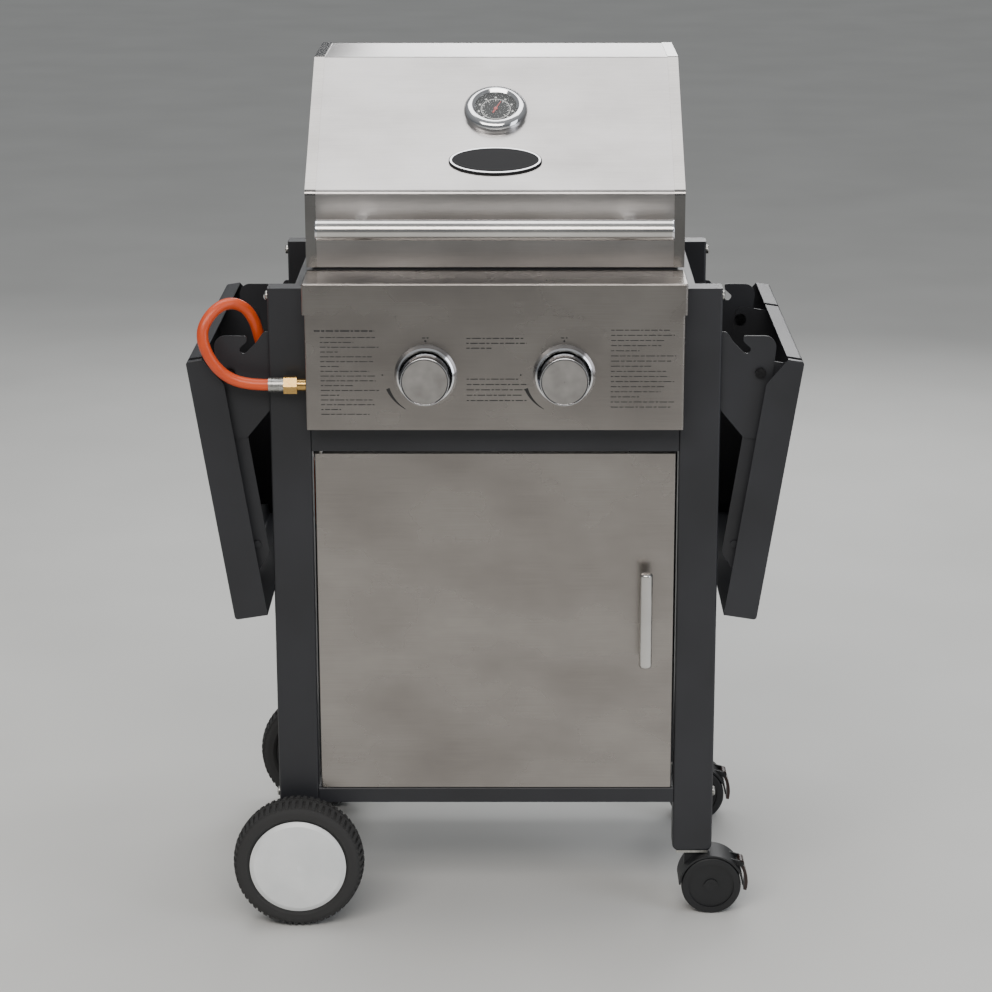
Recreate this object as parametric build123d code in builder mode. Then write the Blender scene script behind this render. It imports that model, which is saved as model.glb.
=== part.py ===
from build123d import *
from math import atan2, cos, pi, radians, sin, tan
import os

os.makedirs("parts", exist_ok=True)

# A two-burner gas barbecue on a cabinet cart, in millimetres.
# X runs to the right, Y to the back, Z up. The origin is on the floor under the middle of the grill.

# ---- Driving dimensions ----
sheet = 1.5               # thickness of the cart's steel
skin = 1.2                # thickness of the stainless covers
front = -198.0            # front face of the front legs
rear = front + 335        # back face of the rear legs
leg_outer = 274.0         # outer side of a leg, from the middle
leg_width = 50.0
leg_depth = 30.0
leg_top = 812.0
shelf_length = 470.0      # side shelf, from front to back
shelf_reach = 332.0       # side shelf, from hinge edge to outer edge
shelf_lean = 8.8          # degrees that a folded shelf leans in at the bottom
wheel_radius = 82.5
caster_height = 83.0
caster_radius = 38.0
hood_half = 230.0         # hood, from the middle to its side
hood_front = front + 50
hood_rear = front + 416
hood_bottom = 828.0
hood_top = 1059.0
knob_x = 83.0
knob_z = 713.0
running_fit = 0.08        # radial play of a shaft in its hole
hose_radius = 7.0

# ---- Places worked out from them ----
leg_inner = leg_outer - leg_width
leg_x = (leg_outer + leg_inner) / 2
sides = (("left", -1), ("right", 1))
ends = (("front", front + leg_depth / 2), ("rear", rear - leg_depth / 2))


def block(x, y, z, mode=Mode.ADD):
    """A box between the two limits that each axis is given."""
    with Locations(((x[0] + x[1]) / 2, (y[0] + y[1]) / 2, (z[0] + z[1]) / 2)):
        Box(abs(x[1] - x[0]), abs(y[1] - y[0]), abs(z[1] - z[0]), mode=mode)


def rod(start, end, radius, mode=Mode.ADD):
    """A round bar from start to end."""
    axis = Vector(*end) - Vector(*start)
    with Locations(Plane(origin=start, z_dir=axis)):
        Cylinder(radius, axis.length, align=(Align.CENTER, Align.CENTER, Align.MIN), mode=mode)


def tube(start, end, radius, wall):
    """A round pipe from start to end."""
    rod(start, end, radius)
    rod(start, end, radius - wall, mode=Mode.SUBTRACT)


# ==== Cart ====

# Legs: closed box section, capped on top and open below. The wheel side is cut shorter for the axle.
axle_x = -leg_x
axle_z = wheel_radius
axle_radius = 6.0
for side, sign in sides:
    bottom = axle_z - 20 if sign < 0 else caster_height
    with BuildPart() as legs:
        for end, y in ends:
            block((sign * leg_inner, sign * leg_outer), (y - leg_depth / 2, y + leg_depth / 2), (bottom, leg_top))
        fillet(legs.edges().filter_by(Axis.Y).group_by(Axis.Z)[0], radius=8)
        fillet(legs.edges().filter_by(Axis.Z), radius=3)
        for end, y in ends:
            block(
                (sign * (leg_inner + sheet), sign * (leg_outer - sheet)),
                (y - leg_depth / 2 + sheet, y + leg_depth / 2 - sheet),
                (bottom - 1, leg_top - sheet),
                mode=Mode.SUBTRACT,
            )
        if sign < 0:
            rod((axle_x, front - 1, axle_z), (axle_x, rear + 1, axle_z), axle_radius + 0.2, mode=Mode.SUBTRACT)
    legs.part.label = f"legs_{side}"
    export_step(legs.part, f"parts/legs_{side}.step")

# Cabinet sides: pans between the front and rear legs, with turned-in edges.
cabinet_floor = 170.0
cabinet_side_top = 600.0
cabinet_flange = 12.0
with BuildPart() as cabinet_sides:
    for side, sign in sides:
        outer = leg_outer - 2
        y = (front + leg_depth, rear - leg_depth)
        z = (cabinet_floor, cabinet_side_top)
        block((sign * (outer - cabinet_flange), sign * outer), y, z)
        block(
            (sign * (outer - cabinet_flange - 1), sign * (outer - sheet)),
            (y[0] + sheet, y[1] - sheet),
            (z[0] + sheet, z[1] - sheet),
            mode=Mode.SUBTRACT,
        )
cabinet_sides.part.label = "cabinet_sides"
export_step(cabinet_sides.part, "parts/cabinet_sides.step")

# Bottom shelf: a pan with its rim turned down, between the legs.
shelf_rim = 20.0
with BuildPart() as bottom_shelf:
    block((-leg_inner, leg_inner), (front, rear), (cabinet_floor - shelf_rim, cabinet_floor))
    fillet(bottom_shelf.faces().sort_by(Axis.Z)[-1].edges().filter_by(Axis.X), radius=3)
    block(
        (-leg_inner + sheet, leg_inner - sheet),
        (front + sheet, rear - sheet),
        (cabinet_floor - shelf_rim - 1, cabinet_floor - sheet),
        mode=Mode.SUBTRACT,
    )
    for y in (-120, -30.5, 59):
        block((-leg_inner + sheet, leg_inner - sheet), (y - 10, y + 10), (cabinet_floor - 8, cabinet_floor - sheet))
        block(
            (-leg_inner + sheet, leg_inner - sheet),
            (y - 10 + sheet, y + 10 - sheet),
            (cabinet_floor - 8 + sheet, cabinet_floor - sheet),
            mode=Mode.SUBTRACT,
        )
bottom_shelf.part.label = "bottom_shelf"
export_step(bottom_shelf.part, "parts/bottom_shelf.step")

# Crossbars: square tube between the legs, over the door and at the back.
crossbar_bottom = 610.0
crossbar_top = 650.0
crossbar_depth = 25.0
with BuildPart() as crossbars:
    for y in (front, rear - crossbar_depth):
        block((-leg_inner, leg_inner), (y, y + crossbar_depth), (crossbar_bottom, crossbar_top))
        block(
            (-leg_inner, leg_inner),
            (y + sheet, y + crossbar_depth - sheet),
            (crossbar_bottom + sheet, crossbar_top - sheet),
            mode=Mode.SUBTRACT,
        )
crossbars.part.label = "crossbars"
export_step(crossbars.part, "parts/crossbars.step")

# Side rails: they join the front and rear legs at the top and carry the firebox.
firebox_half = 222.0
rail_width = 20.0
with BuildPart() as side_rails:
    for side, sign in sides:
        x = (sign * firebox_half, sign * (firebox_half + rail_width))
        block(x, (front + leg_depth, rear - leg_depth), (leg_top - 40, leg_top))
        block(
            (x[0] + sign * sheet, x[1] - sign * sheet),
            (front + leg_depth, rear - leg_depth),
            (leg_top - 40 + sheet, leg_top - sheet),
            mode=Mode.SUBTRACT,
        )
side_rails.part.label = "side_rails"
export_step(side_rails.part, "parts/side_rails.step")

# ==== Wheels and casters ====

# Axle of the two big wheels, through both left legs.
wheel_gap = 5.0
wheel_width = 45.0
axle_front = front - wheel_gap - wheel_width + 8
axle_rear = rear + wheel_gap + wheel_width - 8
with BuildPart() as axle:
    rod((axle_x, axle_front, axle_z), (axle_x, axle_rear, axle_z), axle_radius)
axle.part.label = "axle"
export_step(axle.part, "parts/axle.step")

# Spacers beside the legs, and push-on caps at the axle's ends.
with BuildPart() as axle_washers:
    for y in (front - wheel_gap + 0.4, rear):
        rod((axle_x, y, axle_z), (axle_x, y + wheel_gap - 0.4, axle_z), 11)
    for y in (axle_front - 1.5, axle_rear - 4):
        rod((axle_x, y, axle_z), (axle_x, y + 5.5, axle_z), 11)
    rod((axle_x, axle_front, axle_z), (axle_x, axle_rear, axle_z), axle_radius, mode=Mode.SUBTRACT)
axle_washers.part.label = "axle_washers"
export_step(axle_washers.part, "parts/axle_washers.step")

# Each big wheel: a rubber tyre, a plastic rim and a domed hub cap on its outer face.
tyre_bore = 60.0
tyre_belt = wheel_radius - 3
for end, inner_face, out in (("front", front - wheel_gap, -1), ("rear", rear + wheel_gap, 1)):
    outer_face = inner_face + out * wheel_width
    wheel_plane = Plane(origin=(axle_x, inner_face, axle_z), x_dir=(0, 0, 1), z_dir=(-out, 0, 0))
    with BuildPart() as tyre:
        with BuildSketch(wheel_plane):
            with BuildLine():
                Polyline(
                    (tyre_bore, 3),
                    (tyre_belt - 5, 0),
                    (wheel_radius, 7),
                    (wheel_radius, wheel_width - 7),
                    (tyre_belt - 5, wheel_width),
                    (tyre_bore, wheel_width - 3),
                    close=True,
                )
            make_face()
        revolve(axis=Axis((axle_x, 0, axle_z), (0, 1, 0)))
        fillet(tyre.edges().filter_by(GeomType.CIRCLE).group_by(SortBy.RADIUS)[-1], radius=5)
    tyre.part.label = f"tyre_{end}"
    export_step(tyre.part, f"parts/tyre_{end}.step")

    with BuildPart() as rim:
        with BuildSketch(wheel_plane):
            with BuildLine():
                Polyline(
                    (axle_radius + running_fit, 0.3),
                    (16, 0.3),
                    (18, 14),
                    (50, 16),
                    (54, 4),
                    (tyre_bore - 0.2, 4),
                    (tyre_bore - 0.2, wheel_width - 6),
                    (54, wheel_width - 6),
                    (50, 21),
                    (18, 19),
                    (16, wheel_width - 12),
                    (axle_radius + running_fit, wheel_width - 12),
                    close=True,
                )
            make_face()
        revolve(axis=Axis((axle_x, 0, axle_z), (0, 1, 0)))
    rim.part.label = f"rim_{end}"
    export_step(rim.part, f"parts/rim_{end}.step")

    with BuildPart() as hubcap:
        with BuildSketch(wheel_plane):
            with BuildLine():
                Polyline((0, wheel_width + 1.5), (0, wheel_width + 4), (30, wheel_width + 3.5))
                Line((30, wheel_width + 3.5), (55, wheel_width + 1.5))
                Line((55, wheel_width + 1.5), (60.5, wheel_width - 1.5))
                Line((60.5, wheel_width - 1.5), (59.4, wheel_width - 2.6))
                Line((59.4, wheel_width - 2.6), (59.4, wheel_width - 5.8))
                Line((59.4, wheel_width - 5.8), (54, wheel_width - 5.8))
                Line((54, wheel_width - 5.8), (0, wheel_width + 1.5))
            make_face()
        revolve(axis=Axis((axle_x, 0, axle_z), (0, 1, 0)))
    hubcap.part.label = f"hubcap_{end}"
    export_step(hubcap.part, f"parts/hubcap_{end}.step")

# Casters under the right legs: fixed stem, swivelling body, twin wheels and a foot-operated brake.
caster_trail = 25.0
caster_x = leg_x + caster_trail
stem_radius = 5.0
stem_bottom = 50.0
body_half = 8.0
wheel_inner = 8.6
wheel_outer = 22.6
stub_radius = 4.0
guard_inner = 39.2
guard_outer = 41.4
guard_half = 23.5
brake_reach = 46.5
brake_angle = radians(34)
brake_x = caster_x + brake_reach * cos(brake_angle)
brake_z = caster_radius + brake_reach * sin(brake_angle)
with BuildPart() as caster_stems:
    for end, y in ends:
        block((leg_x - 20, leg_x + 20), (y - 13, y + 13), (caster_height - 3, caster_height))
        rod((leg_x, y, stem_bottom), (leg_x, y, caster_height - 3), stem_radius)
caster_stems.part.label = "caster_stems"
export_step(caster_stems.part, "parts/caster_stems.step")

for end, y in ends:
    with BuildPart() as caster_body:
        with BuildSketch(Plane.XZ.offset(-y)):
            with Locations((caster_x, caster_radius)):
                Circle(guard_outer)
                Circle(guard_inner, mode=Mode.SUBTRACT)
            with Locations((caster_x, caster_radius - guard_outer / 2 - 2)):
                Rectangle(2 * guard_outer + 2, guard_outer + 8, mode=Mode.SUBTRACT)
        extrude(amount=guard_half, both=True)
        with BuildSketch(Plane.XZ.offset(-y)):
            with BuildLine():
                Polyline(
                    (leg_x - 9, 79.4),
                    (caster_x, 79.4),
                    (caster_x + 14, 45),
                    (caster_x, 24),
                    (leg_x + 8, 30),
                    (leg_x - 9, 56),
                    close=True,
                )
            make_face()
        extrude(amount=body_half, both=True)
        rod((caster_x, y - wheel_outer, caster_radius), (caster_x, y + wheel_outer, caster_radius), stub_radius)
        for ear in (-12.4, 10.2):
            with BuildSketch(Plane.XZ.offset(-(y + ear))):
                with BuildLine():
                    Polyline(
                        (caster_x + 30, caster_radius + 26),
                        (caster_x + 22, caster_radius + 34),
                        (brake_x - 2, brake_z + 4),
                        (brake_x + 4, brake_z),
                        (brake_x + 1, brake_z - 4),
                        close=True,
                    )
                make_face()
            extrude(amount=-2.2)
        rod((brake_x, y - 12.4, brake_z), (brake_x, y + 12.4, brake_z), 2)
        rod((leg_x, y, stem_bottom - 0.3), (leg_x, y, 80), stem_radius + running_fit, mode=Mode.SUBTRACT)
    caster_body.part.label = f"caster_body_{end}"
    export_step(caster_body.part, f"parts/caster_body_{end}.step")

    with BuildPart() as caster_wheels:
        for low, high in ((-wheel_outer, -wheel_inner), (wheel_inner, wheel_outer)):
            rod((caster_x, y + low, caster_radius), (caster_x, y + high, caster_radius), caster_radius)
        fillet(caster_wheels.edges().filter_by(GeomType.CIRCLE), radius=2.5)
        for face_y in (-wheel_outer - 1, wheel_outer - 2):
            rod((caster_x, y + face_y, caster_radius), (caster_x, y + face_y + 3, caster_radius), 29, Mode.SUBTRACT)
            rod((caster_x, y + face_y, caster_radius), (caster_x, y + face_y + 3, caster_radius), 9)
        rod(
            (caster_x, y - 30, caster_radius),
            (caster_x, y + 30, caster_radius),
            stub_radius + running_fit,
            mode=Mode.SUBTRACT,
        )
        block((caster_x - 9, caster_x + 9), (y - 30, y - wheel_outer), (0, 2 * caster_radius), Mode.SUBTRACT)
        block((caster_x - 9, caster_x + 9), (y + wheel_outer, y + 30), (0, 2 * caster_radius), Mode.SUBTRACT)
    caster_wheels.part.label = f"caster_wheels_{end}"
    export_step(caster_wheels.part, f"parts/caster_wheels_{end}.step")

    with BuildPart() as caster_brake:
        with BuildSketch(Plane.XZ.offset(-y)):
            with BuildLine():
                CenterArc((caster_x, caster_radius), 47.6, -14, 46)
                CenterArc((caster_x, caster_radius), 43.6, -14, 46)
                Line(
                    (caster_x + 47.6 * cos(radians(-14)), caster_radius + 47.6 * sin(radians(-14))),
                    (caster_x + 43.6 * cos(radians(-14)), caster_radius + 43.6 * sin(radians(-14))),
                )
                Line(
                    (caster_x + 47.6 * cos(radians(32)), caster_radius + 47.6 * sin(radians(32))),
                    (caster_x + 43.6 * cos(radians(32)), caster_radius + 43.6 * sin(radians(32))),
                )
            make_face()
            with Locations((brake_x, brake_z)):
                Circle(4)
        extrude(amount=9.8, both=True)
        rod((brake_x, y - 12, brake_z), (brake_x, y + 12, brake_z), 2 + running_fit, mode=Mode.SUBTRACT)
    caster_brake.part.label = f"caster_brake_{end}"
    export_step(caster_brake.part, f"parts/caster_brake_{end}.step")

# ==== Side shelves ====

# The hinge of a shelf, and where it lies in the shelf's own section.
pivot_x = 322.0
pivot_z = 706.0
hinge_down = 24.0         # from the hinge edge of the shelf
hinge_in = 49.0           # from the shelf's face
bolt_radius = 4.0
lean = radians(shelf_lean)
shelf_front = front - 4
shelf_rear = shelf_front + shelf_length


def on_shelf(sign, down, inward):
    """Where a point of the folded shelf is: down from its hinge edge, and inward from its face."""
    along = down - hinge_down
    across = inward - hinge_in
    x = pivot_x - along * sin(lean) - across * cos(lean)
    z = pivot_z - along * cos(lean) + across * sin(lean)
    return (sign * x, z)


def plate(outline, radii, y, thickness):
    """A flat upright plate across the grill, from y backwards, with a radius at each corner."""
    with BuildSketch(Plane.XZ.offset(-y)) as shape:
        with BuildLine():
            FilletPolyline(*outline, radius=radii, close=True)
        make_face()
    extrude(shape.sketch, amount=-thickness)


# Brackets bolted to the legs: a flange, and a hook plate that the shelf turns on.
bracket_top = 752.0
bracket_faces = (("front", front + 9, front + 9), ("rear", rear - 11, rear - 29))
hook_radii = [0, 5, 4, 4, 4, 3, 3, 14, 5, 5, 0]
with BuildPart() as shelf_brackets:
    for side, sign in sides:
        hook = [
            (leg_outer, 757),
            (280, 757),
            (289, 744),
            (304.5, 728.5),
            (311.5, 735),
            (301, 744.5),
            (300, bracket_top),
            (342, bracket_top),
            (329, 622),
            (303, 625),
            (leg_outer, 660),
        ]
        for end, plate_y, flange_y in bracket_faces:
            plate([(sign * x, z) for x, z in hook], hook_radii, plate_y, 2)
            block((sign * leg_outer, sign * (leg_outer + sheet)), (flange_y, flange_y + 20), (660, bracket_top))
            rod((sign * pivot_x, plate_y - 1, pivot_z), (sign * pivot_x, plate_y + 3, pivot_z), bolt_radius + 0.05,
                mode=Mode.SUBTRACT)
shelf_brackets.part.label = "shelf_brackets"
export_step(shelf_brackets.part, "parts/shelf_brackets.step")

# Each shelf, folded down: a pressed tray, and two arms that stiffen it and turn on the brackets.
skirt = 41.0
hinge_flange = 20.0
arm_reach = 278.0
arm_depth = 56.0
arm_faces = (front + 11.5, rear - 13.0)
for side, sign in sides:
    with BuildPart() as shelf:
        tray = [(0, 0), (shelf_reach, 0), (shelf_reach, skirt), (shelf_reach - sheet, skirt),
                (shelf_reach - sheet, sheet), (sheet, sheet), (sheet, hinge_flange), (0, hinge_flange)]
        plate([on_shelf(sign, *p) for p in tray], [4, 4, 0, 0, 2.5, 2.5, 0, 0], shelf_front, shelf_length)
        skirt_outline = [(0, 0), (shelf_reach, 0), (shelf_reach, skirt), (34, skirt), (0, hinge_flange)]
        for y in (shelf_front, shelf_rear - sheet):
            plate([on_shelf(sign, *p) for p in skirt_outline], [4, 4, 0, 8, 0], y, sheet)
        fillet(shelf.edges().filter_by(GeomType.LINE).group_by(Axis.Y)[0].sort_by(Edge.length)[-1], radius=1)
        slot = [(-1, sheet), (6, sheet), (6, hinge_flange + 1), (-1, hinge_flange + 1)]
        for plate_y in (front + 10, rear - 10):
            with BuildSketch(Plane.XZ.offset(-(plate_y - 6))):
                with BuildLine():
                    Polyline(*[on_shelf(sign, *p) for p in slot], close=True)
                make_face()
            extrude(amount=-12, mode=Mode.SUBTRACT)
    shelf.part.label = f"shelf_{side}"
    export_step(shelf.part, f"parts/shelf_{side}.step")

    with BuildPart() as shelf_arms:
        arm = [(8, sheet), (arm_reach, sheet), (arm_reach, 38), (arm_reach - 22, arm_depth), (8, arm_depth)]
        for y in arm_faces:
            plate([on_shelf(sign, *p) for p in arm], [0, 0, 8, 8, 8], y, sheet)
            rod((sign * pivot_x, y - 1, pivot_z), (sign * pivot_x, y + 3, pivot_z), bolt_radius + running_fit,
                mode=Mode.SUBTRACT)
        boss_x, boss_z = on_shelf(sign, 243, 43)
        for y in (arm_faces[0] - 3, arm_faces[1] + sheet):
            rod((boss_x, y, boss_z), (boss_x, y + 3, boss_z), 4.5)
    shelf_arms.part.label = f"shelf_arms_{side}"
    export_step(shelf_arms.part, f"parts/shelf_arms_{side}.step")

# Pivot bolts: head outside the hook plate, nut inside the arm.
with BuildPart() as shelf_pivot_bolts:
    for side, sign in sides:
        x = sign * pivot_x
        for head, shank, nut in (
            ((front + 5, front + 9), (front + 9, front + 14), (front + 13.3, front + 18)),
            ((rear - 9, rear - 5), (rear - 14, rear - 9), (rear - 18, rear - 13.3)),
        ):
            rod((x, head[0], pivot_z), (x, head[1], pivot_z), 6.5)
            rod((x, shank[0], pivot_z), (x, shank[1], pivot_z), bolt_radius)
            rod((x, nut[0], pivot_z), (x, nut[1], pivot_z), 7)
shelf_pivot_bolts.part.label = "shelf_pivot_bolts"
export_step(shelf_pivot_bolts.part, "parts/shelf_pivot_bolts.step")

# Button-head bolts on the outer sides of the legs.
with BuildPart() as frame_bolts:
    for side, sign in sides:
        for y, bolt_y in ((front, front + 19), (rear, rear - 19)):
            for seat, z in ((leg_outer, 158), (leg_outer + sheet, 703), (leg_outer, 800)):
                rod((sign * seat, bolt_y, z), (sign * (seat + 4), bolt_y, z), 6)
    fillet(frame_bolts.edges().filter_by(GeomType.CIRCLE).filter_by(lambda e: abs(e.center().X) > 277), radius=2)
frame_bolts.part.label = "frame_bolts"
export_step(frame_bolts.part, "parts/frame_bolts.step")

# ==== Firebox and burners ====

# Firebox: open box with a rim turned in, a ledge for the grates and rails for the grease tray.
firebox_front = front + 52
firebox_rear = front + 400
firebox_bottom = 676.0
firebox_top = 826.0
grate_seat = 795.0
burner_z = knob_z
tray_rail = 24.0
hinge_y = firebox_rear
hinge_z = 845.0
pin_radius = 4.0
with BuildPart() as firebox:
    block((-firebox_half, firebox_half), (firebox_front, firebox_rear), (firebox_bottom, firebox_top))
    block(
        (-firebox_half + sheet, firebox_half - sheet),
        (firebox_front + sheet, firebox_rear - sheet),
        (firebox_bottom - 1, firebox_top - sheet),
        mode=Mode.SUBTRACT,
    )
    block(
        (-firebox_half + 9, firebox_half - 9),
        (firebox_front + 9, firebox_rear - 9),
        (firebox_top - 5, firebox_top + 1),
        mode=Mode.SUBTRACT,
    )
    for side, sign in sides:
        block((sign * (firebox_half - 14), sign * (firebox_half - 1)), (firebox_front + 1, firebox_rear - 1),
              (grate_seat - sheet, grate_seat))
        x = sign * (firebox_half - 12)
        block((x, x + sign * sheet), (firebox_front, firebox_rear), (firebox_bottom - tray_rail, firebox_bottom + 2))
        block((x - sign * 12, x), (firebox_front, firebox_rear), (firebox_bottom - tray_rail,
              firebox_bottom - tray_rail + sheet))
        block((x, sign * (firebox_half - 1)), (firebox_front, firebox_rear), (firebox_bottom, firebox_bottom + 2))
        rod((sign * knob_x, firebox_front - 1, burner_z), (sign * knob_x, firebox_front + 3, burner_z), 14,
            mode=Mode.SUBTRACT)
firebox.part.label = "firebox"
export_step(firebox.part, "parts/firebox.step")

# Burner tubes: from the valve outlet through the front wall, with two rows of flame ports.
burner_radius = 12.5
burner_start = front + 42
burner_end = front + 385
with BuildPart() as burners:
    for side, sign in sides:
        x = sign * knob_x
        tube((x, burner_start, burner_z), (x, burner_end - 2, burner_z), burner_radius, 1.2)
        rod((x, burner_end - 2, burner_z), (x, burner_end, burner_z), burner_radius)
        for step in range(18):
            y = firebox_front + 30 + step * 16
            rod((x - 20, y, burner_z + 3), (x + 20, y, burner_z + 3), 1.3, mode=Mode.SUBTRACT)
        block((x - 16, x + 16), (firebox_rear - 42, firebox_rear - 40), (burner_z - 30, burner_z - burner_radius + 1))
burners.part.label = "burners"
export_step(burners.part, "parts/burners.step")

# Heat plates: a folded sheet like a roof over each burner.
with BuildPart() as heat_plates:
    for side, sign in sides:
        x = sign * knob_x
        with BuildSketch(Plane.XZ.offset(-(firebox_front + 18))):
            with BuildLine():
                Polyline(
                    (x - 60, 744),
                    (x, 770),
                    (x + 60, 744),
                    (x + 60, 742.4),
                    (x, 768.4),
                    (x - 60, 742.4),
                    close=True,
                )
            make_face()
        extrude(amount=-312)
heat_plates.part.label = "heat_plates"
export_step(heat_plates.part, "parts/heat_plates.step")

# Cooking grates: two cast grates side by side, resting on the ledges.
grate_bars = 12
with BuildPart() as cooking_grates:
    for side, sign in sides:
        near = sign * 1.5
        far = sign * (firebox_half - 3.5)
        y = (firebox_front + 5, firebox_rear - 5)
        for bar_y in (y[0], (y[0] + y[1]) / 2 - 4, y[1] - 8):
            block((near, far), (bar_y, bar_y + 8), (grate_seat, grate_seat + 9))
        for bar in range(grate_bars):
            x = near + (far - near - sign * 6) * bar / (grate_bars - 1)
            block((x, x + sign * 6), y, (grate_seat, grate_seat + 11))
cooking_grates.part.label = "cooking_grates"
export_step(cooking_grates.part, "parts/cooking_grates.step")

# Warming rack: a wire shelf on four legs that stand on the firebox rim. The legs stay solids of their own.
rack_half = 217.5
rack_z = 905.0
rail_radius = 2.5
with BuildPart() as warming_rack:
    y = (front + 262, front + 382)
    for rail_y in y:
        rod((-rack_half, rail_y, rack_z), (rack_half, rail_y, rack_z), rail_radius)
        for side, sign in sides:
            rod((sign * (rack_half - 3), rail_y, firebox_top),
                (sign * (rack_half - 3), rail_y, rack_z - rail_radius - 0.02), rail_radius)
    for wire in range(25):
        x = -rack_half + 3 + 2 * (rack_half - 3) * wire / 24
        rod((x, y[0], rack_z), (x, y[1], rack_z), 1.6)
warming_rack.part.label = "warming_rack"
export_step(warming_rack.part, "parts/warming_rack.step")

# Grease tray: slides out to the back on the firebox rails.
tray_half = firebox_half - 12.6
tray_y = (firebox_front + 8, firebox_rear - 2)
tray_z = (firebox_bottom - tray_rail + sheet, firebox_bottom - 2)
with BuildPart() as grease_tray:
    block((-tray_half, tray_half), tray_y, tray_z)
    block(
        (-tray_half + sheet, tray_half - sheet),
        (tray_y[0] + sheet, tray_y[1] - sheet),
        (tray_z[0] + sheet, tray_z[1] + 1),
        mode=Mode.SUBTRACT,
    )
    block((-50, 50), (tray_y[1] - 1, tray_y[1] + 18), (tray_z[1] - sheet, tray_z[1]))
    block((-50, 50), (tray_y[1] + 16.5, tray_y[1] + 18), (tray_z[1] - 10, tray_z[1]))
grease_tray.part.label = "grease_tray"
export_step(grease_tray.part, "parts/grease_tray.step")

# ==== Hood ====

# The hood's side outline: upright front, slope, flat top and upright back.
slope_foot = 921.0        # height where the slope starts
slope_run = 207.0         # how far back the slope reaches
hood_back_bottom = 840.0
slope = atan2(hood_top - slope_foot, slope_run)


def hood_outline(inset, floor=None):
    """Corners of the hood's side outline moved inwards by inset, or open below down to a floor."""
    foot = slope_foot - inset * tan((pi / 2 - slope) / 2)
    brow = hood_front + slope_run + inset * tan(slope / 2)
    upper = [(hood_front + inset, foot), (brow, hood_top - inset), (hood_rear - inset, hood_top - inset)]
    if floor is None:
        lower = [(hood_rear - inset, hood_back_bottom), (hinge_y, hood_bottom), (hood_front + inset, hood_bottom)]
    else:
        lower = [(hood_rear - inset, floor), (hood_front + inset, floor)]
    return upper + lower


def hood_slab(inset, x_from, x_to, floor=None, mode=Mode.ADD):
    """The hood's side outline given a width, for the shell and the end caps."""
    corners = hood_outline(inset, floor)
    radii = [9 - inset, 7 - inset, 7 - inset] + [0] * (len(corners) - 3)
    with BuildSketch(Plane.YZ.offset(x_from)) as shape:
        with BuildLine():
            FilletPolyline(*corners, radius=radii, close=True)
        make_face()
    extrude(shape.sketch, amount=x_to - x_from, mode=mode)


def slope_plane(back):
    """The plane on the hood's slope, at a distance behind the hood's front."""
    height = slope_foot + back * tan(slope)
    return Plane(origin=(0, hood_front + back, height), x_dir=(1, 0, 0), z_dir=(0, -sin(slope), cos(slope)))


strip = 1.0               # the end caps lap over the shell by this thickness
strip_width = 13.0
cap_inner = hood_half - skin
gauge_plane = slope_plane(120)
gauge_radius = 40.0
gauge_window = 26.0
with BuildPart() as hood_shell:
    hood_slab(strip, -cap_inner, cap_inner)
    hood_slab(strip + skin, -cap_inner, cap_inner, hood_bottom - 5, Mode.SUBTRACT)
    with Locations(gauge_plane):
        Cylinder(5.4, 20, mode=Mode.SUBTRACT)
hood_shell.part.label = "hood_shell"
export_step(hood_shell.part, "parts/hood_shell.step")

with BuildPart() as hood_ends:
    for side, sign in sides:
        hood_slab(0, sign * cap_inner, sign * hood_half)
        hood_slab(0, sign * (hood_half - strip_width), sign * cap_inner)
        hood_slab(strip, sign * (hood_half - strip_width - 1), sign * cap_inner, hood_bottom - 5, Mode.SUBTRACT)
        rod((sign * (cap_inner - 1), hinge_y, hinge_z), (sign * (hood_half + 1), hinge_y, hinge_z),
            pin_radius + running_fit, mode=Mode.SUBTRACT)
hood_ends.part.label = "hood_ends"
export_step(hood_ends.part, "parts/hood_ends.step")

# Hood handle: a tube across the front on two posts, closed by end caps.
handle_y = front - 5
handle_z = 884.0
handle_half = 214.0
handle_radius = 12.5
with BuildPart() as hood_handle_tube:
    tube((-handle_half + 3, handle_y, handle_z), (handle_half - 3, handle_y, handle_z), handle_radius, sheet)
hood_handle_tube.part.label = "hood_handle_tube"
export_step(hood_handle_tube.part, "parts/hood_handle_tube.step")

with BuildPart() as hood_handle_posts:
    for side, sign in sides:
        x = sign * 162
        with Locations(Plane(origin=(x, hood_front + strip, handle_z), z_dir=(0, -1, 0))):
            Cone(8, 11.5, hood_front + strip - handle_y, align=(Align.CENTER, Align.CENTER, Align.MIN))
    rod((-180, handle_y, handle_z), (180, handle_y, handle_z), handle_radius + 0.05, mode=Mode.SUBTRACT)
hood_handle_posts.part.label = "hood_handle_posts"
export_step(hood_handle_posts.part, "parts/hood_handle_posts.step")

with BuildPart() as hood_handle_caps:
    for side, sign in sides:
        rod((sign * (handle_half - 3), handle_y, handle_z), (sign * handle_half, handle_y, handle_z), handle_radius)
        rod((sign * (handle_half - 12), handle_y, handle_z), (sign * (handle_half - 3), handle_y, handle_z),
            handle_radius - sheet - 0.05)
    fillet(hood_handle_caps.edges().filter_by(GeomType.CIRCLE).sort_by(Axis.X)[0], radius=2)
    fillet(hood_handle_caps.edges().filter_by(GeomType.CIRCLE).sort_by(Axis.X)[-1], radius=2)
hood_handle_caps.part.label = "hood_handle_caps"
export_step(hood_handle_caps.part, "parts/hood_handle_caps.step")

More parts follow.
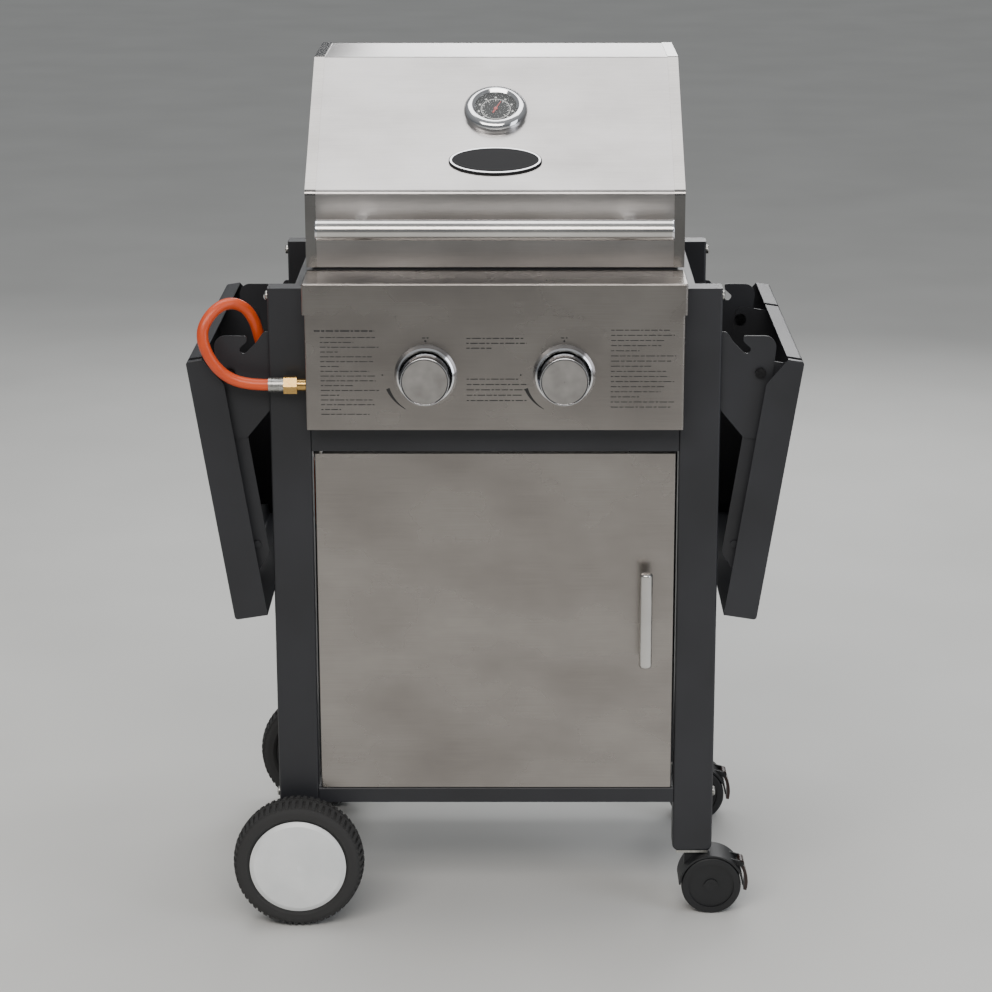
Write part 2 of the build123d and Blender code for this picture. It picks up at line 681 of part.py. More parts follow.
# Lid thermometer: housing with its stem through the slope, dial and glass.
with BuildPart() as thermometer_housing:
    with BuildSketch(Plane(origin=gauge_plane.origin, x_dir=(1, 0, 0), z_dir=gauge_plane.y_dir * -1)):
        with BuildLine():
            Polyline((gauge_window + 3.5, 12), (gauge_window, 9), (gauge_window, 3), (0, 3), (0, -32), (5, -32),
                     (5, -strip), (gauge_radius, -strip), (gauge_radius, 2))
            ThreePointArc((gauge_radius, 2), (gauge_radius - 3, 9), (gauge_window + 3.5, 12))
        make_face()
    revolve(axis=Axis(gauge_plane.origin, gauge_plane.z_dir))
thermometer_housing.part.label = "thermometer_housing"
export_step(thermometer_housing.part, "parts/thermometer_housing.step")

with BuildPart() as thermometer_dial:
    with BuildSketch(gauge_plane.offset(3)):
        Circle(gauge_window - 0.1)
    extrude(amount=1)
thermometer_dial.part.label = "thermometer_dial"
export_step(thermometer_dial.part, "parts/thermometer_dial.step")

with BuildPart() as thermometer_glass:
    with BuildSketch(gauge_plane.offset(7)):
        Circle(gauge_window - 0.1)
    extrude(amount=1.5)
thermometer_glass.part.label = "thermometer_glass"
export_step(thermometer_glass.part, "parts/thermometer_glass.step")

# Oval plate on the slope, left blank.
with BuildPart() as badge_plate:
    with BuildSketch(slope_plane(45).offset(-strip)):
        Ellipse(57, 24.5)
    extrude(amount=2.5)
    fillet(badge_plate.faces().sort_by(Axis.Z)[-1].edges(), radius=0.8)
badge_plate.part.label = "badge_plate"
export_step(badge_plate.part, "parts/badge_plate.step")

# ==== Front of the grill ====

# Ledge: a folded sheet under the hood, with a lip at the front and in front of the legs.
ledge_front = front - 37
ledge_top = 825.0
ledge_lip = 787.0
fold_radius = 3.0         # where the stainless covers are folded
with BuildPart() as ledge:
    block((-hood_half, hood_half), (ledge_front, hood_front), (ledge_lip, ledge_top))
    fillet(ledge.edges().filter_by(Axis.Z).group_by(Axis.Y)[0], radius=fold_radius)
    fillet(ledge.faces().sort_by(Axis.Z)[-1].edges().filter_by(Axis.X).group_by(Axis.Y)[0], radius=2)
    block((-hood_half + skin, hood_half - skin), (ledge_front + skin, hood_front + 1), (ledge_lip - 1,
          ledge_top - skin), mode=Mode.SUBTRACT)
    block((-hood_half - 1, hood_half + 1), (front - 2, hood_front + 1), (ledge_lip - 1, ledge_top - skin),
          mode=Mode.SUBTRACT)
ledge.part.label = "ledge"
export_step(ledge.part, "parts/ledge.step")

# Control panel: a pan open at the back and top, with the knob holes and the gas inlet's hole.
panel_half = 227.5
panel_front = front - 32
panel_bottom = 645.0
manifold_y = front - 16
manifold_z = 697.2
manifold_half = 9.0
with BuildPart() as control_panel:
    block((-panel_half, panel_half), (panel_front, front - 1), (panel_bottom, ledge_lip - 1))
    fillet(control_panel.edges().filter_by(Axis.Z).group_by(Axis.Y)[0], radius=fold_radius)
    block(
        (-panel_half + skin, panel_half - skin),
        (panel_front + skin, front),
        (panel_bottom + skin, ledge_lip),
        mode=Mode.SUBTRACT,
    )
    for side, sign in sides:
        rod((sign * knob_x, panel_front - 1, knob_z), (sign * knob_x, panel_front + 3, knob_z), 8, Mode.SUBTRACT)
    rod((-panel_half - 1, manifold_y, manifold_z), (-panel_half + 3, manifold_y, manifold_z), 10, Mode.SUBTRACT)
control_panel.part.label = "control_panel"
export_step(control_panel.part, "parts/control_panel.step")

# Knobs: a dished bezel on the panel, and a knob that pushes in on its valve stem and turns.
bezel_profile = [(12, 0), (37.5, 0), (37.5, 2), (34.5, 7.5), (32.5, 9), (30.5, 7.5), (28, 3), (12, 3)]
knob_profile = [(0, 13), (30, 13), (30, 15), (29.2, 36.2), (28.2, 38), (27.4, 38), (26.9, 37.2), (0, 37.2)]
stem_in = front - 23
stem_out = panel_front - 32
with BuildPart() as knob_bezels:
    for side, sign in sides:
        with BuildSketch(Plane.XY.offset(knob_z)):
            with BuildLine():
                Polyline(*[(sign * knob_x + r, panel_front - h) for r, h in bezel_profile], close=True)
            make_face()
        revolve(axis=Axis((sign * knob_x, 0, knob_z), (0, 1, 0)))
knob_bezels.part.label = "knob_bezels"
export_step(knob_bezels.part, "parts/knob_bezels.step")

for side, sign in sides:
    with BuildPart() as knob:
        with BuildSketch(Plane.XY.offset(knob_z)):
            with BuildLine():
                Polyline(*[(sign * knob_x + r, panel_front - h) for r, h in knob_profile], close=True)
            make_face()
        revolve(axis=Axis((sign * knob_x, 0, knob_z), (0, 1, 0)))
        rod((sign * knob_x, panel_front, knob_z), (sign * knob_x, stem_out - 0.5, knob_z), 4 + running_fit,
            mode=Mode.SUBTRACT)
    knob.part.label = f"knob_{side}"
    export_step(knob.part, f"parts/knob_{side}.step")

    with BuildPart() as valve_stem:
        rod((sign * knob_x, stem_in, knob_z), (sign * knob_x, stem_out, knob_z), 4)
    valve_stem.part.label = f"valve_stem_{side}"
    export_step(valve_stem.part, f"parts/valve_stem_{side}.step")

# Valves: a body on the manifold behind each knob, with an outlet that reaches into the burner.
with BuildPart() as valve_bodies:
    for side, sign in sides:
        x = sign * knob_x
        block((x - 12, x + 12), (front - 29, front - 5), (manifold_z + manifold_half, manifold_z + 29))
        rod((x, front - 5, knob_z), (x, burner_start + 4, knob_z), 6)
        rod((x, front - 30, knob_z), (x, front - 18, knob_z), 4 + running_fit, mode=Mode.SUBTRACT)
valve_bodies.part.label = "valve_bodies"
export_step(valve_bodies.part, "parts/valve_bodies.step")

with BuildPart() as manifold:
    block(
        (-220, 205),
        (manifold_y - manifold_half, manifold_y + manifold_half),
        (manifold_z - manifold_half, manifold_z + manifold_half),
    )
manifold.part.label = "manifold"
export_step(manifold.part, "parts/manifold.step")

# ==== Door ====

door_half = 220.5
door_front = front - 1
door_depth = 16.0
door_bottom = 171.0
door_top = 607.0
door_pivot_x = -213.5
door_pivot_y = front + 6
with BuildPart() as door:
    block((-door_half, door_half), (door_front, door_front + door_depth), (door_bottom, door_top))
    fillet(door.edges().filter_by(Axis.Z).group_by(Axis.Y)[0], radius=2)
    block(
        (-door_half + skin, door_half - skin),
        (door_front + skin, door_front + door_depth - skin),
        (door_bottom + skin, door_top - skin),
        mode=Mode.SUBTRACT,
    )
    block(
        (-door_half + 14, door_half - 14),
        (door_front + 5, door_front + door_depth + 1),
        (door_bottom + 14, door_top - 14),
        mode=Mode.SUBTRACT,
    )
    for z in (door_bottom, door_top):
        rod((door_pivot_x, door_pivot_y, z - 2), (door_pivot_x, door_pivot_y, z + 2), 3 + running_fit, Mode.SUBTRACT)
door.part.label = "door"
export_step(door.part, "parts/door.step")

# Door handle: an upright bar on two posts.
door_handle_x = 185.0
door_handle_y = door_front - 27
door_handle_z = (340.0, 463.0)
with BuildPart() as door_handle:
    rod((door_handle_x, door_handle_y, door_handle_z[0]), (door_handle_x, door_handle_y, door_handle_z[1]), 8)
    fillet(door_handle.edges().filter_by(GeomType.CIRCLE), radius=4)
door_handle.part.label = "door_handle"
export_step(door_handle.part, "parts/door_handle.step")

with BuildPart() as door_handle_posts:
    for z in (door_handle_z[0] + 18, door_handle_z[1] - 18):
        rod((door_handle_x, door_front, z), (door_handle_x, door_handle_y, z), 5)
    rod((door_handle_x, door_handle_y, 300), (door_handle_x, door_handle_y, 500), 8.05, mode=Mode.SUBTRACT)
door_handle_posts.part.label = "door_handle_posts"
export_step(door_handle_posts.part, "parts/door_handle_posts.step")

# Hinges: for the hood a plate on each side of the firebox with its pin, and for the door two pins.
with BuildPart() as hinges:
    for side, sign in sides:
        with BuildSketch(Plane.YZ.offset(sign * firebox_half)) as ear:
            with BuildLine():
                Polyline(
                    (hinge_y - 20, hinge_z - 55),
                    (hinge_y - 4, hinge_z - 55),
                    (hinge_y - 4, hinge_z - 9),
                    (hinge_y, hinge_z),
                    (hinge_y - 9, hinge_z + 4),
                    (hinge_y - 20, hinge_z - 9),
                    close=True,
                )
            make_face()
            with Locations((hinge_y, hinge_z)):
                Circle(10)
        extrude(ear.sketch, amount=sign * 3)
        rod((sign * firebox_half, hinge_y, hinge_z), (sign * (hood_half + 0.6), hinge_y, hinge_z), pin_radius)
        rod((sign * (hood_half + 0.6), hinge_y, hinge_z), (sign * (hood_half + 4), hinge_y, hinge_z), 7.5)
    rod((door_pivot_x, door_pivot_y, cabinet_floor), (door_pivot_x, door_pivot_y, cabinet_floor + 9), 3)
    rod((door_pivot_x, door_pivot_y, crossbar_bottom - 11), (door_pivot_x, door_pivot_y, crossbar_bottom), 3)
hinges.part.label = "hinges"
export_step(hinges.part, "parts/hinges.step")

# ==== Gas hose ====

# Brass nipple and nut at the manifold's end, and the crimped ferrule that holds the hose.
nipple_end = -238.5
nut_end = -254.6
hose_start = -273.0
with BuildPart() as hose_fitting:
    rod((-220, manifold_y, manifold_z), (nipple_end, manifold_y, manifold_z), 7.5)
    with BuildSketch(Plane(origin=(nipple_end, manifold_y, manifold_z), x_dir=(0, 1, 0), z_dir=(-1, 0, 0))):
        RegularPolygon(radius=11.5, side_count=6)
    extrude(amount=nipple_end - nut_end)
hose_fitting.part.label = "hose_fitting"
export_step(hose_fitting.part, "parts/hose_fitting.step")

with BuildPart() as hose_ferrule:
    rod((nut_end, manifold_y, manifold_z), (hose_start, manifold_y, manifold_z), 8.8)
    for x in (nut_end - 5, nut_end - 9, nut_end - 13):
        rod((x, manifold_y, manifold_z), (x - 1.4, manifold_y, manifold_z), 20, mode=Mode.SUBTRACT)
    rod((nut_end, manifold_y, manifold_z), (hose_start, manifold_y, manifold_z), 8.2)
hose_ferrule.part.label = "hose_ferrule"
export_step(hose_ferrule.part, "parts/hose_ferrule.step")

# The hose's route: out of the ferrule, up in a loop, back behind the shelf bracket, down beside the
# firebox into the cabinet and along its floor to the regulator. Points are (x, behind the legs' front, z).
hose_route = [
    (hose_start, -16, 697.2),
    (-300, -16, 697.2),
    (-327, -18, 709),
    (-345, -20, 733),
    (-353, -19, 761),
    (-341.2, -10.6, 784),
    (-322, 3, 795),
    (-302.8, 16.6, 787),
    (-291, 25, 766),
    (-286, 33, 738),
    (-280, 43, 708),
    (-266, 56, 680),
    (-251, 69, 650),
    (-240, 80, 614),
    (-233, 92, 566),
    (-228, 106, 516),
    (-220, 121, 466),
    (-209, 134, 417),
    (-196, 147, 370),
    (-181, 158, 323),
    (-163, 168, 277),
    (-139, 177, 234),
    (-106, 184, 202),
    (-66, 188, 187),
    (-25, 190, 183),
    (14, 190, 183),
]
hose_points = [Vector(x, front + y, z) for x, y, z in hose_route]


def corner_radius(before, corner, after):
    """The largest arc that leaves both runs beside a corner some straight length."""
    first = corner - before
    second = after - corner
    return 0.45 * min(first.length, second.length) / tan(radians(first.get_angle(second)) / 2)


hose_radii = [corner_radius(*hose_points[i:i + 3]) for i in range(len(hose_points) - 2)]
print("hose bend radii:", [round(radius) for radius in hose_radii])
with BuildPart() as gas_hose:
    with BuildLine() as hose_line:
        FilletPolyline(*hose_points, radius=hose_radii)
    with BuildSketch(Plane(origin=hose_points[0], z_dir=hose_line.wires()[0] % 0)):
        Circle(hose_radius)
    sweep()
hose_length = hose_line.wires()[0].length
print("hose length:", round(hose_length), "volume over section times length:",
      round(gas_hose.part.volume / (pi * hose_radius ** 2 * hose_length), 4))
gas_hose.part.label = "gas_hose"
export_step(gas_hose.part, "parts/gas_hose.step")

# Regulator at the hose's end, lying on the cabinet floor.
regulator_x = 66.0
hose_end = hose_points[-1]
with BuildPart() as regulator:
    with Locations((regulator_x, hose_end.Y, cabinet_floor)):
        Cylinder(36, 26, align=(Align.CENTER, Align.CENTER, Align.MIN))
    fillet(regulator.edges().filter_by(GeomType.CIRCLE), radius=5)
    with Locations((regulator_x, hose_end.Y, cabinet_floor + 25)):
        Cylinder(17, 14, align=(Align.CENTER, Align.CENTER, Align.MIN))
    rod((hose_end.X, hose_end.Y, hose_end.Z), (regulator_x - 20, hose_end.Y, hose_end.Z), 8.5)
    rod((regulator_x + 20, hose_end.Y, hose_end.Z), (regulator_x + 58, hose_end.Y, hose_end.Z), 11)
regulator.part.label = "regulator"
export_step(regulator.part, "parts/regulator.step")
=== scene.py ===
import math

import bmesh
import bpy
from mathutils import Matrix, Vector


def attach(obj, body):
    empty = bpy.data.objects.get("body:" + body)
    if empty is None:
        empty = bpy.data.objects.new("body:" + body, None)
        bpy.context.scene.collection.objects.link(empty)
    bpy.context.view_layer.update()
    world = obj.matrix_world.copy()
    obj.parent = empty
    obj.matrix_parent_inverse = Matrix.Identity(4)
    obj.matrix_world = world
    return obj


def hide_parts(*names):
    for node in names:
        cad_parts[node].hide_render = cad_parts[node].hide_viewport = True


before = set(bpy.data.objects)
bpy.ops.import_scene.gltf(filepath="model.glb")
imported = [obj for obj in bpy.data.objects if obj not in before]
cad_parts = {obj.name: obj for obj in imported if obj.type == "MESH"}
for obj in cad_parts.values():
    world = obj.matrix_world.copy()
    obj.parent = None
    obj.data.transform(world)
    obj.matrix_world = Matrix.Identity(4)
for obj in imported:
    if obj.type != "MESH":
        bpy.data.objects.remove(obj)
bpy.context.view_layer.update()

# %% [markdown]
# # A gas barbecue on a cabinet cart
# The shapes that bend and bolt together come from the frame. This lesson adds what a maker's drawing
# leaves out: the rubber hose as a smooth line, tyre tread, printed marks, the thermometer's dial, and
# above all the finishes. Every length is in metres, and X is right, Y back and Z up.

MM = 0.001

# %% [markdown]
# ## Camera
# The grill is looked down on from the front, from a little above its hood. A long lens keeps its legs
# almost upright, so the camera stands well back and tips down. A small sideways shift centres it.

# %% Camera
LENS_MM = 98.5
CAMERA_PLACE = (0.030, -3.398, 1.4665)
CAMERA_TIP = math.radians(15.93)
CAMERA_SHIFT = -0.0241
camera_data = bpy.data.cameras.new("camera")
camera_data.lens = LENS_MM
camera_data.sensor_width = 36
camera_data.shift_x = CAMERA_SHIFT
camera = bpy.data.objects.new("camera", camera_data)
camera.location = CAMERA_PLACE
camera.rotation_euler = (math.pi / 2 - CAMERA_TIP, 0, 0)
bpy.context.scene.collection.objects.link(camera)
bpy.context.scene.camera = camera
print("camera", LENS_MM, "mm, tipped down", round(math.degrees(CAMERA_TIP), 1), "degrees")

# %% [markdown]
# ## Colours and nodes
# Colours are written as the hex values that a paint chart gives. Cycles mixes light in linear values,
# so one function turns the first into the second. A second small function adds a node to a material
# with its settings and its links, so that each finish below reads as a list of what it is made of.


# %% Helpers for colours and nodes
def colour(hex_value):
    """A linear colour with full alpha, from an sRGB hex value such as '#8a8a8a'."""
    channels = [int(hex_value[i:i + 2], 16) / 255 for i in (1, 3, 5)]
    return tuple(c / 12.92 if c <= 0.04045 else ((c + 0.055) / 1.055) ** 2.4 for c in channels) + (1.0,)


def add(material, kind, inputs=None, **settings):
    """Adds a node. Inputs are numbers, colours or the sockets to link from, by input name or number."""
    tree = material.node_tree
    node = tree.nodes.new(kind)
    for name, value in settings.items():
        setattr(node, name, value)
    for name, value in (inputs or {}).items():
        if isinstance(value, bpy.types.NodeSocket):
            tree.links.new(value, node.inputs[name])
        else:
            node.inputs[name].default_value = value
    return node


def ramp(material, factor, stops):
    """A colour ramp between two (position, hex colour) stops."""
    node = add(material, "ShaderNodeValToRGB", {"Fac": factor})
    for element, (position, hex_value) in zip(node.color_ramp.elements, stops):
        element.position = position
        element.color = colour(hex_value)
    return node.outputs["Color"]


def between(material, factor, low, high):
    """The factor, from 0 to 1, stretched to the range from low to high."""
    node = add(material, "ShaderNodeMapRange", {"Value": factor, "To Min": low, "To Max": high})
    return node.outputs["Result"]


def pattern(material, size_mm, detail=2.0, stretch=(1, 1, 1)):
    """Cloudy noise with features about size_mm across, and longer along an axis with a stretch above 1."""
    place = add(material, "ShaderNodeTexCoord").outputs["Object"]
    scale = tuple(1 / (size_mm * MM * s) for s in stretch)
    mapped = add(material, "ShaderNodeMapping", {"Vector": place, "Scale": scale}).outputs["Vector"]
    noise = add(material, "ShaderNodeTexNoise", {"Vector": mapped, "Scale": 1.0, "Detail": detail})
    return noise.outputs["Fac"]


def bump(material, height, depth_mm, strength):
    """A bump from a height pattern, with its real depth in millimetres."""
    inputs = {"Height": height, "Strength": strength, "Distance": depth_mm * MM}
    return add(material, "ShaderNodeBump", inputs).outputs["Normal"]


def new_material(name, inputs):
    """A material with one Principled shader, whose inputs come from the function inputs(material)."""
    material = bpy.data.materials.new(name)
    material.use_nodes = True
    material.node_tree.nodes.clear()
    shader = add(material, "ShaderNodeBsdfPrincipled", inputs(material))
    output = add(material, "ShaderNodeOutputMaterial")
    material.node_tree.links.new(shader.outputs["BSDF"], output.inputs["Surface"])
    return material


print("helpers ready")

# %% [markdown]
# ## Stainless steel
# The hood, ledge, panel and door are folded from ferritic stainless sheet with a ground finish. The
# grinding belt leaves fine parallel lines that stretch highlights, and handling and rolling leave soft
# cloudy patches a hand wide. The real lines are a twentieth of a millimetre apart, too fine to show, so
# they are drawn about half a millimetre apart. Each sheet is ground along its own length.


# %% Stainless steel, ground along X
CLOUD_MM = 90
CLOUD_STRETCH = (1.6, 1, 1)
GRIND_STRETCH = (160, 1, 1)


def stainless(name, dark, light, low, high, grain_mm=0.5):
    """Ground stainless sheet: two tones for its clouds, and a range of roughness."""

    def inputs(material):
        clouds = pattern(material, CLOUD_MM, detail=4, stretch=CLOUD_STRETCH)
        grain = pattern(material, grain_mm, detail=2, stretch=GRIND_STRETCH)
        lines = between(material, grain, 0.0, 0.25)
        blend = add(material, "ShaderNodeMath", {0: clouds, 1: 0.75, 2: lines}, operation="MULTIPLY_ADD")
        tone = ramp(material, blend.outputs[0], [(0.30, dark), (0.72, light)])
        return {
            "Base Color": tone,
            "Metallic": 1.0,
            "Roughness": between(material, clouds, low, high),
            "Anisotropic": 0.35,
            "Normal": bump(material, grain, 0.008, 0.3),
        }

    return new_material(name, inputs)


hood_steel = stainless("stainless_hood", "#9b9896", "#bfbcba", 0.24, 0.36)
front_steel = stainless("stainless_front", "#8b8682", "#aca7a2", 0.20, 0.34)
end_steel = stainless("stainless_polished_edge", "#8f8c89", "#b4b1ae", 0.12, 0.22)
bar_steel = stainless("stainless_satin_bar", "#c0bebb", "#dedcd9", 0.18, 0.28, grain_mm=0.4)
burner_steel = stainless("stainless_mill_sheet", "#85807a", "#a8a39b", 0.40, 0.55)

# %% [markdown]
# ## Powder coat
# The legs, shelves and firebox are mild steel under baked polyester powder. It melts into a skin with
# a faint orange peel, hills about 2 mm apart and a few hundredths of a millimetre high, so a highlight
# breaks up softly. Thick at the folds and thin on the flats, it also varies a little in gloss.


# %% Powder coat
def powder_coat(name, dark, light, gloss_low=0.38, gloss_high=0.50):
    """Baked powder paint with orange peel."""

    def inputs(material):
        peel = pattern(material, 1.8, detail=1)
        drift = pattern(material, 140, detail=3)
        return {
            "Base Color": ramp(material, drift, [(0.3, dark), (0.7, light)]),
            "Roughness": between(material, drift, gloss_low, gloss_high),
            "IOR": 1.5,
            "Normal": bump(material, peel, 0.05, 0.35),
        }

    return new_material(name, inputs)


cart_paint = powder_coat("powder_coat_charcoal", "#212225", "#2a2b2f")
regulator_paint = powder_coat("painted_zinc_casting", "#8c9092", "#a0a4a5", 0.35, 0.45)

# %% [markdown]
# ## Plated and bare metals
# The handle posts, bezels and rack are chrome over nickel: nearly a mirror, with a slight bluish tone.
# The bolts and the hose's ferrule are zinc plated, which dries to a soft grey with faint crystals. The
# gas fittings are turned brass, with fine rings from the lathe. Chrome shows the room more than its own
# skin, so it keeps the plain finish that came with the frame, and so does the rubber of the tyres below.


# %% Chrome, zinc and brass
def plated(name, dark, light, low, high, size_mm, depth_mm):
    """A metal surface with a pattern of the given size in its tone, gloss and height."""

    def inputs(material):
        marks = pattern(material, size_mm, detail=3)
        return {
            "Base Color": ramp(material, marks, [(0.3, dark), (0.7, light)]),
            "Metallic": 1.0,
            "Roughness": between(material, marks, low, high),
            "Normal": bump(material, marks, depth_mm, 0.3),
        }

    return new_material(name, inputs)


chrome = bpy.data.materials["chrome_plate"]
zinc = plated("zinc_plate", "#9c9c98", "#c3c2bd", 0.28, 0.42, 2.5, 0.02)
brass = plated("turned_brass", "#b98f4e", "#dcb877", 0.18, 0.30, 1.2, 0.01)
black_oxide = plated("black_oxide_steel", "#2b2b2c", "#3b3b3c", 0.28, 0.38, 3, 0.01)
dark_chrome = plated("black_chrome_plate", "#55565a", "#6d6e72", 0.10, 0.18, 30, 0.01)

# %% [markdown]
# ## Rubber and plastics
# The tyres are black moulded rubber that never shines. The casters and rims are polypropylene with a
# fine spark-eroded grain, about half a millimetre across. The hub caps are sprayed silver over plastic.
# The gas hose is an orange rubber tube with a smooth, slightly waxy skin.


# %% Rubber and plastics
def moulded(name, dark, light, low, high, size_mm, depth_mm, metallic=0.0, coat=0.0, ior=1.5):
    """A moulded skin with fine grain, and broader drift in tone and gloss."""

    def inputs(material):
        grain = pattern(material, size_mm, detail=2)
        drift = pattern(material, 45, detail=3)
        return {
            "Base Color": ramp(material, drift, [(0.3, dark), (0.7, light)]),
            "Metallic": metallic,
            "Roughness": between(material, drift, low, high),
            "IOR": ior,
            "Coat Weight": coat,
            "Normal": bump(material, grain, depth_mm, 0.4),
        }

    return new_material(name, inputs)


tyre_rubber = bpy.data.materials["tyre_rubber"]
rim_plastic = moulded("polypropylene_black", "#18191a", "#202123", 0.42, 0.55, 0.6, 0.03)
brake_plastic = moulded("nylon_dark_brown", "#2a1b18", "#35231f", 0.28, 0.38, 0.6, 0.02)
cap_silver = moulded("silver_sprayed_plastic", "#e4e7e7", "#f1f3f3", 0.30, 0.40, 0.5, 0.01, metallic=0.1)
hose_rubber = moulded("orange_gas_rubber", "#c9451a", "#dd5522", 0.36, 0.48, 1.5, 0.02, coat=0.15)
grate_enamel = moulded("enamelled_cast_iron", "#161617", "#222223", 0.38, 0.60, 2.2, 0.12)
dial_black = moulded("printed_dial_black", "#0d0e0f", "#131416", 0.60, 0.70, 0.8, 0.005, ior=1.35)
badge_black = moulded("black_enamel", "#131315", "#1a1a1d", 0.52, 0.62, 4, 0.01, ior=1.35)
# This black is both the screen print on the panel and the painted shade in the bolt sockets.
print_and_shade_black = moulded("print_and_painted_shade_black", "#1a1a1b", "#222223", 0.45, 0.55, 0.5, 0.005)
ink_white = moulded("printed_white", "#e2e2df", "#eeeeeb", 0.40, 0.50, 0.5, 0.005)
ink_red = moulded("needle_red", "#b3201a", "#c22a22", 0.35, 0.45, 0.5, 0.005)

# %% [markdown]
# ## Thermometer glass
# The dial lies under a flat window. A window this thin hardly bends light, so a nearly clear surface
# that still reflects the studio looks right, and it is quicker than true refraction.


# %% Thermometer glass
def window_inputs(material):
    """Nearly clear, with faint wiping smears in its gloss."""
    smears = pattern(material, 12, detail=2)
    return {
        "Base Color": colour("#f2f6f6"),
        "Roughness": between(material, smears, 0.02, 0.06),
        "Specular IOR Level": 0.3,
        "Alpha": 0.05,
    }


window_glass = new_material("thin_window_glass", window_inputs)

# %% [markdown]
# ## Putting the finishes on
# The frame's pieces already have the right shapes, so each one only gets its finish.

# %% Finishes by piece
FINISHES = {
    hood_steel: ["hood_shell"],
    front_steel: ["ledge", "control_panel", "door"],
    end_steel: ["hood_ends"],
    bar_steel: ["hood_handle_tube", "door_handle"],
    burner_steel: ["burners", "heat_plates", "grease_tray"],
    cart_paint: [
        "legs_left", "legs_right", "cabinet_sides", "bottom_shelf", "crossbars", "side_rails",
        "shelf_brackets", "shelf_left", "shelf_right", "shelf_arms_left", "shelf_arms_right", "firebox",
        "manifold",
    ],
    chrome: [
        "hood_handle_posts", "hood_handle_caps", "door_handle_posts", "knob_bezels", "warming_rack",
        "thermometer_housing",
    ],
    dark_chrome: ["knob_left", "knob_right"],
    zinc: [
        "axle", "axle_washers", "caster_stems", "frame_bolts", "hinges", "hose_ferrule",
        "valve_stem_left", "valve_stem_right",
    ],
    black_oxide: ["shelf_pivot_bolts"],
    brass: ["hose_fitting", "valve_bodies"],
    rim_plastic: [
        "rim_front", "rim_rear", "caster_body_front", "caster_body_rear", "caster_wheels_front",
        "caster_wheels_rear",
    ],
    brake_plastic: ["caster_brake_front", "caster_brake_rear"],
    cap_silver: ["hubcap_front", "hubcap_rear"],
    grate_enamel: ["cooking_grates"],
    dial_black: ["thermometer_dial"],
    badge_black: ["badge_plate"],
    window_glass: ["thermometer_glass"],
    regulator_paint: ["regulator"],
}
for finish, names in FINISHES.items():
    for name in names:
        for material_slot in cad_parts[name].material_slots:
            material_slot.material = finish
print("finished", sum(len(names) for names in FINISHES.values()), "pieces")

# %% [markdown]
# ## The gas hose
# Rubber hose keeps one thickness and will not kink, so it leaves its ferrule straight, climbs in a loop
# and falls back behind the shelf bracket. Inside the cabinet it hangs down and lies along the floor to
# the regulator. A smooth spline through a short list of given control points gives that line, and
# a round bevel gives the tube. The points are written from the front of the front legs, in millimetres.

# %% Gas hose
LEG_FRONT = -198 * MM
HOSE_RADIUS = 7 * MM
HOSE_ROUTE = [
    (-273, -16, 697.2),
    (-300, -16, 697.2),
    (-327, -18, 709),
    (-345, -20, 733),
    (-353, -19, 761),
    (-341.2, -10.6, 784),
    (-322, 3, 795),
    (-302.8, 16.6, 787),
    (-291, 25, 766),
    (-286, 33, 738),
    (-280, 43, 708),
    (-266, 56, 680),
    (-251, 69, 650),
    (-240, 80, 614),
    (-233, 92, 566),
    (-228, 106, 516),
    (-220, 121, 466),
    (-209, 134, 417),
    (-196, 147, 370),
    (-181, 158, 323),
    (-163, 168, 277),
    (-139, 177, 234),
    (-106, 184, 202),
    (-66, 188, 187),
    (-25, 190, 183),
    (14, 190, 183),
]


def hose_line(name, route, radius):
    """A round tube on one NURBS spline whose control points are the route."""
    curve = bpy.data.curves.new(name, "CURVE")
    curve.dimensions = "3D"
    spline = curve.splines.new("NURBS")
    spline.points.add(len(route) - 1)
    for point, (x, y, z) in zip(spline.points, route):
        point.co = (x * MM, LEG_FRONT + y * MM, z * MM, 1)
    spline.order_u = 3
    spline.use_endpoint_u = True
    spline.resolution_u = 16
    curve.bevel_depth = radius
    curve.bevel_resolution = 8
    curve.use_fill_caps = True
    piece = bpy.data.objects.new(name, curve)
    bpy.context.scene.collection.objects.link(piece)
    return piece


hose = hose_line("orange_hose", HOSE_ROUTE, HOSE_RADIUS)
hose.data.materials.append(hose_rubber)
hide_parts("gas_hose")
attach(hose, "cart")
print("hose control points:", len(HOSE_ROUTE))

# %% [markdown]
# ## Building small solids
# The printed marks, tread lugs and dial ticks are all thin closed solids, so one function turns an
# outline on a plane into a slab. A plane is given by its origin and two directions across it.


# %% Helpers for small solids
def mesh_piece(name, mesh_maker, material, body):
    """A mesh object from a function that fills a bmesh, finished and riding on a body."""
    mesh = bpy.data.meshes.new(name)
    shape = bmesh.new()
    mesh_maker(shape)
    bmesh.ops.recalc_face_normals(shape, faces=shape.faces)
    shape.to_mesh(mesh)
    shape.free()
    piece = bpy.data.objects.new(name, mesh)
    bpy.context.scene.collection.objects.link(piece)
    mesh.materials.append(material)
    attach(piece, body)
    return piece


class Face:
    """A flat place on the object: an origin, a direction across, a direction up it and its normal."""

    def __init__(self, origin, across, up):
        self.origin = Vector(origin)
        self.across = Vector(across).normalized()
        self.up = Vector(up).normalized()
        self.out = self.across.cross(self.up)

    def at(self, u, v, height=0.0):
        """The point u across, v up and height out of the face."""
        return self.origin + self.across * u + self.up * v + self.out * height


def slab(shape, face, outline, low, high):
    """Adds a closed slab with this outline to a bmesh, from height low to height high above the face."""
    bottom = [shape.verts.new(face.at(u, v, low)) for u, v in outline]
    top = [shape.verts.new(face.at(u, v, high)) for u, v in outline]
    shape.faces.new(list(reversed(bottom)))
    shape.faces.new(top)
    for i in range(len(outline)):
        j = (i + 1) % len(outline)
        shape.faces.new((bottom[i], bottom[j], top[j], top[i]))


